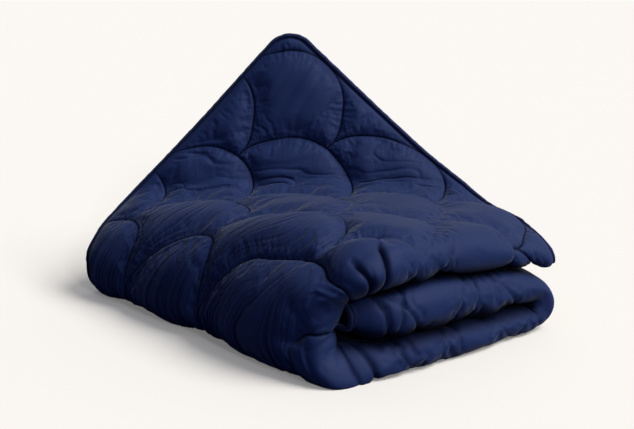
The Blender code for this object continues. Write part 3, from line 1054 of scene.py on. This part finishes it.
def addQuilt():
    simulated = simulateOuterFace()
    alongLines, acrossLines = gridLines(alongZones), gridLines(acrossZones)
    rows, columns = len(alongLines) - 1, len(acrossLines) - 1
    quilt = addTwoFaces(rows, columns)
    place = vertexPlaces(quilt)
    outer = place[:, 2] > 0.5
    row, column = gridNumbers(place, rows, columns)
    flatAlong, flatAcross = roundCorner(alongLines[row], cloth["half"] - acrossLines[column])
    along, across = snapToStitch(flatAlong, flatAcross, quilting["snap"])
    near = nearestStitch(along, across)
    thick = runState(along)[3]
    calm = smooth(edgeDistance(along, across), *quilting["hemCalm"])
    # the outer face, puffed and wrinkled
    pleat, crease = pleats(along, across, near), noseCrease(along, across)
    fine = wrinkle(along, across, near) - folds["pleatDeep"] * pleat - crease
    half = halfThickness(along, across, thick, near, plumpness(along, across)) + fine * calm
    onFloor = pressedFlat(along, across, thick) & outer
    half = np.where(onFloor, thick / 4 - cloth["plyGap"] / 2, half)
    # the inner face, squeezed thinner round the inside of the half fold
    squeeze = np.interp(np.abs(across), quilting["insideAcross"], [cloth["insideNose"], 1])
    innerHalf = halfThickness(along, across, thick, near) * squeeze
    x, y, z = fold(along, across, np.where(outer, half, -innerHalf))
    if simulated:
        moved = looseness(flatAlong, flatAcross, simulated)
        moved *= (outer * smooth(near["off"], *quilting["seamCalm"]) * calm)[:, None]
        x, y, z = x + moved[:, 0], y + moved[:, 1], z + moved[:, 2]
    placeVertices(quilt, x, y, np.where(onFloor, 0, np.maximum(z, 0)))
    # what the material reads
    addClothMap(quilt, along, across)
    # where the seam is pulled flat the stitch distance is pushed out, so the thread and the painted
    # seam shade show less
    hidden = flat["threadHidden"] * pulledFlat(along, across)
    addLayer(quilt, "stitchOff", near["off"] + hidden)
    addLayer(quilt, "stitchRun", near["run"])
    # painted shade in the pleats and nose creases, and in the slots between the layers, where shadow
    # falls
    deep = np.clip(quilting["pleatShade"] * pleat + crease / quilting["creaseShade"], 0, 1)
    addLayer(quilt, "paintedShadeInFolds", np.maximum(deep, paintedSlotShade(along, across)) * outer)
    bpy.ops.object.shade_smooth()
    quilt.data.update()
    return quilt


# the tape folded over the quilt's edge: how far it comes in over each face, how far it stands
# out, how thick it is all told, and how far in its stitching runs
binding = {
    "lip": 0.0070,
    "round": 0.0045,
    "thick": 0.0130,
    "inside": 0.0042,
    "stitchIn": 0.0046,
    "waviness": 0.0006,
    "waveLong": 0.012,
    "mapApart": 0.05,
    "noStitch": 0.01,
}


def outlineOfCloth():
    # the flat quilt's outline, point by point, and the way that leads outwards
    alongLines, acrossLines = gridLines(alongZones), gridLines(acrossZones)
    across = cloth["half"] - acrossLines
    near = [(a, cloth["half"]) for a in alongLines[:-1]]
    far = [(cloth["length"], c) for c in across[:-1]]
    back = [(a, -cloth["half"]) for a in alongLines[:0:-1]]
    start = [(0.0, c) for c in across[:0:-1]]
    points = np.array(near + far + back + start)
    ring = np.stack(roundCorner(points[:, 0], points[:, 1]), 1)
    ahead = np.roll(ring, -1, 0) - np.roll(ring, 1, 0)
    ahead /= np.linalg.norm(ahead, axis=1)[:, None]
    outward = np.stack([-ahead[:, 1], ahead[:, 0]], 1)
    outward *= np.sign(((ring - (cloth["length"] / 2, 0)) * outward).sum(1))[:, None]
    step = np.linalg.norm(ring - np.roll(ring, 1, 0), axis=1)
    return ring, outward, np.cumsum(step)


def tapeSection():
    # the tape's cross section: how far out it is, and how far up
    top = binding["thick"] / 2
    upper = [(0.0, binding["inside"]), (-binding["lip"], binding["inside"]),
             (-binding["lip"], top * 0.80), (-binding["lip"] * 0.86, top * 0.94),
             (-binding["stitchIn"], top * 0.86), (-binding["lip"] * 0.40, top)]
    for share in range(4):
        angle = math.pi / 2 - math.pi / 2 * share / 3.5
        upper.append((binding["round"] * math.cos(angle), top * math.sin(angle)))
    return upper + [(out, -up) for out, up in reversed(upper)]


def addBinding():
    ring, outward, run = outlineOfCloth()
    section = tapeSection()
    rows, columns = len(ring), len(section)
    tape = addGrid(rows, columns)
    tape.name = "bindingTape"
    turn, part = gridNumbers(vertexPlaces(tape), rows, columns)
    out, up = np.array(section)[part % columns].T
    onFace = np.abs(out) < binding["lip"] - 1e-6
    run = np.append(run, run[-1] + np.linalg.norm(ring[0] - ring[-1]))[turn]
    ring, outward = ring[turn % rows], outward[turn % rows]
    wave = softNoise(ring[:, 0] / binding["waveLong"], ring[:, 1] / binding["waveLong"], 21)
    up = up * (1 + binding["waviness"] / binding["thick"] * 2 * wave)
    out = out + binding["waviness"] * wave
    spot = ring + outward * out[:, None]
    x, y, z = fold(spot[:, 0], spot[:, 1], up)
    placeVertices(tape, x, y, np.maximum(z, 0))
    addClothMap(tape, run, out + np.sign(up) * binding["mapApart"])
    off = np.where(onFace, np.abs(out + binding["stitchIn"]), binding["noStitch"])
    addLayer(tape, "stitchOff", off)
    addLayer(tape, "stitchRun", run)
    bpy.ops.object.mode_set(mode="EDIT")
    bpy.ops.mesh.select_all(action="SELECT")
    bpy.ops.mesh.remove_doubles(threshold=0.00001)
    turnOutwards()
    bpy.ops.object.shade_smooth()
    return tape


# brushed microfibre: its dye where it is even and where it is rubbed, the painted shade that stands
# in for shadow in the stitching grooves, deep folds and slots, its sheen, thread and weave
navyCloth = {
    "colour": (0.0050, 0.0160, 0.079, 1),
    "worn": (0.0086, 0.0222, 0.094, 1),
    # the next three entries are painted shade: its colour, and its strength in the seam grooves and
    # in the folds
    "paintedShadeColour": (0.0003, 0.0008, 0.007, 1),
    "seamShadeStrength": 0.90,
    "foldShadeStrength": 0.88,
    "roughness": 0.66,
    "roughnessVaries": 0.12,
    "threadSmoother": 0.10,
    "specular": 0.22,
    "sheen": 0.14,
    "sheenRoughness": 0.40,
    "sheenTint": (0.95, 1.0, 0.95, 1),
    "threadWide": 0.0011,
    "stitchLong": 0.0035,
    "beadLevel": 0.6,
    "beadDeep": 0.5,
    "shadeWide": 0.0040,
    "seamRoughness": 0.9,
    "seamSpecular": 0.05,
    "weave": 0.0011,
    "cloudScale": 9.0,
    "cloudWorn": 0.7,
    "fleckScale": 420.0,
    "fleckWorn": 0.5,
    "wornLess": 0.25,
    "bumpDeep": 0.0005,
    "weaveBump": 0.10,
    "threadBump": 1.2,
    "fleckBump": 0.35,
}

# the tape is a tighter, smoother weave of a darker dye
navyTape = dict(navyCloth)
navyTape.update({
    "colour": (0.0038, 0.0115, 0.064, 1),
    "worn": (0.0066, 0.0160, 0.080, 1),
    "roughness": 0.58,
    "threadWide": 0.0008,
    "weave": 0.0008,
    "weaveBump": 0.16,
})


def clothMaterial(name, values):
    material = bpy.data.materials.new(name)
    material.use_nodes = True
    tree = material.node_tree
    tree.nodes.clear()
    spot = addNode(tree, "ShaderNodeTexCoord", (), (), "Object")
    off = addNode(tree, "ShaderNodeAttribute", {"attribute_name": "stitchOff"}, (), "Fac")
    run = addNode(tree, "ShaderNodeAttribute", {"attribute_name": "stitchRun"}, (), "Fac")
    # the painted shade of pleats, nose creases and slots, from the quilt's attribute
    folded = addNode(tree, "ShaderNodeAttribute", {"attribute_name": "paintedShadeInFolds"}, (), "Fac")
    # warp and weft, along the cloth and across it
    clothMap = addNode(tree, "ShaderNodeUVMap", {"uv_map": "clothMap"})
    turn = 2 * math.pi / values["weave"]
    warp = addNode(tree, "ShaderNodeSeparateXYZ", (), {0: clothMap}, "X") * turn
    weft = addNode(tree, "ShaderNodeSeparateXYZ", (), {0: clothMap}, "Y") * turn
    weave = warp.sine() * weft.sine()
    # thread: a line of stitches, each a short bead with a gap after it
    bead = (run * (2 * math.pi / values["stitchLong"])).sine()
    bead = bead * values["beadDeep"] + values["beadLevel"]
    thread = (1 - off.between(0.0, values["threadWide"])) * bead
    # cloudy colour from brushing, and a fine fleck
    cloud = addNode(tree, "ShaderNodeTexNoise", (),
                    {"Vector": spot, "Scale": values["cloudScale"], "Detail": 3.0}, "Fac")
    fleck = addNode(tree, "ShaderNodeTexNoise", (),
                    {"Vector": spot, "Scale": values["fleckScale"], "Detail": 2.0}, "Fac")
    worn = cloud * values["cloudWorn"] + fleck * values["fleckWorn"] - values["wornLess"]
    dye = worn.mix(values["colour"], values["worn"])
    rough = (fleck - 0.5) * values["roughnessVaries"] + values["roughness"]
    rough = rough - thread * values["threadSmoother"]
    height = weave * values["weaveBump"] + thread * values["threadBump"]
    height = height + fleck * values["fleckBump"]
    bump = addNode(tree, "ShaderNodeBump", (),
                   {"Strength": 1.0, "Distance": values["bumpDeep"], "Height": height})
    brushed = addNode(tree, "ShaderNodeBsdfPrincipled", (), {
        "Base Color": dye, "Roughness": rough, "Normal": bump,
        "Specular IOR Level": values["specular"], "Sheen Weight": values["sheen"],
        "Sheen Roughness": values["sheenRoughness"], "Sheen Tint": values["sheenTint"]})
    # painted shade: a near-black shader with no sheen stands in for the shadow in the stitching
    # grooves, deep folds and slots
    seam = addNode(tree, "ShaderNodeBsdfPrincipled", (), {
        "Base Color": values["paintedShadeColour"], "Roughness": values["seamRoughness"],
        "Specular IOR Level": values["seamSpecular"], "Normal": bump})
    # painted seam shade: full on the stitch line and gone shadeWide from it; hidden is the share of
    # painted shade, seams and folds together
    paintedSeamShade = 1 - off.between(0.0, values["shadeWide"])
    hidden = (paintedSeamShade * values["seamShadeStrength"]).orMore(folded * values["foldShadeStrength"])
    both = addNode(tree, "ShaderNodeMixShader", (), {0: hidden, 1: brushed, 2: seam})
    addNode(tree, "ShaderNodeOutputMaterial", (), {"Surface": both})
    return material


quilt = addQuilt()
quilt.data.materials.append(clothMaterial("navyMicrofibre", navyCloth))
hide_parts("quilt")
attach(quilt, "root")
print("duvet: quilt", len(quilt.data.polygons), "faces")

tape = addBinding()
tape.data.materials.append(clothMaterial("navyTape", navyTape))
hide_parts("binding")
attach(tape, "root")
print("duvet: binding", len(tape.data.polygons), "faces")
